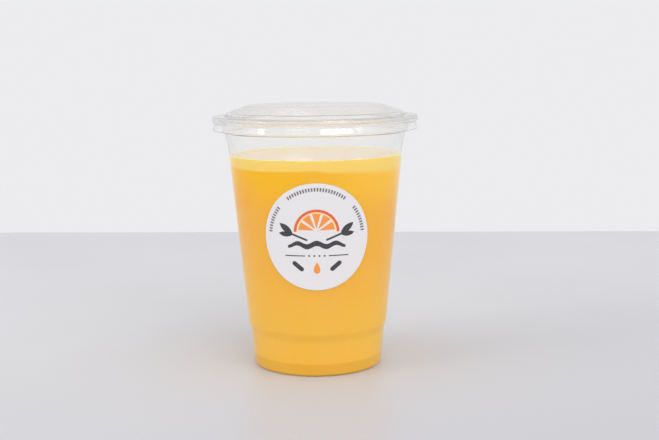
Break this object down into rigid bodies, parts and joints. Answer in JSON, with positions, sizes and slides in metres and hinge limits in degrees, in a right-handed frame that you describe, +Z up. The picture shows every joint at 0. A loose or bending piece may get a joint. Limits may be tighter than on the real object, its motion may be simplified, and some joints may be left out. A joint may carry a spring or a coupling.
{
  "type": "cup of orange juice",
  "caption": "Clear tapered takeaway cup filled with orange juice, closed by a clear lid that clips over its rim, with a plain round sticker on its wall.",
  "frame": {"origin": "centre of the foot, on the surface that the cup stands on", "axes": "+Z up along the cup's axis, -Y towards the sticker, +X to the right of the sticker"},
  "size_m": [0.1, 0.1, 0.1279],
  "materials": {
    "cup_plastic": "clear thermoformed plastic, glossy",
    "juice": "cloudy orange juice, opaque, wet surface",
    "sticker": "white coated paper with a simple printed motif",
    "lid_plastic": "clear thermoformed plastic, glossy"
  },
  "bodies": {
    "root": {"cup": "cup_plastic", "juice": "juice", "label": "sticker", "lid": "lid_plastic"}
  },
  "joints": []
}
